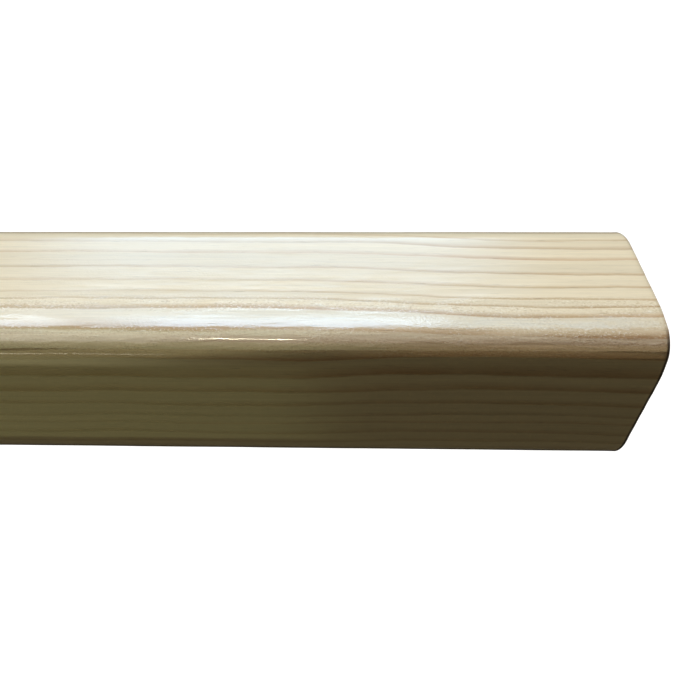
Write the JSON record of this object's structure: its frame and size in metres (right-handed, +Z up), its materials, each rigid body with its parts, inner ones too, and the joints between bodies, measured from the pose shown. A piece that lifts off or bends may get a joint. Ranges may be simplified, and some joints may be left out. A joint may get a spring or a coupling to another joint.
{
  "type": "corner moulding",
  "caption": "Straight length of outside-corner moulding in clear-lacquered pine: a right-angle strip with a rounded nose and rounded leg edges that caps an outward wall corner.",
  "frame": {"origin": "on the floor, under the middle of the length and the middle of the width, with the length lying ridge up", "axes": "+X along the length towards the right-hand end of the picture, +Y across towards the leg that is at the top of the picture, +Z up out of the rounded ridge"},
  "size_m": [1.2, 0.0454, 0.0261],
  "materials": {
    "lacquered_pine": "clear gloss lacquer on the outer faces"
  },
  "bodies": {
    "root": {"corner_moulding": "lacquered_pine"}
  },
  "joints": []
}
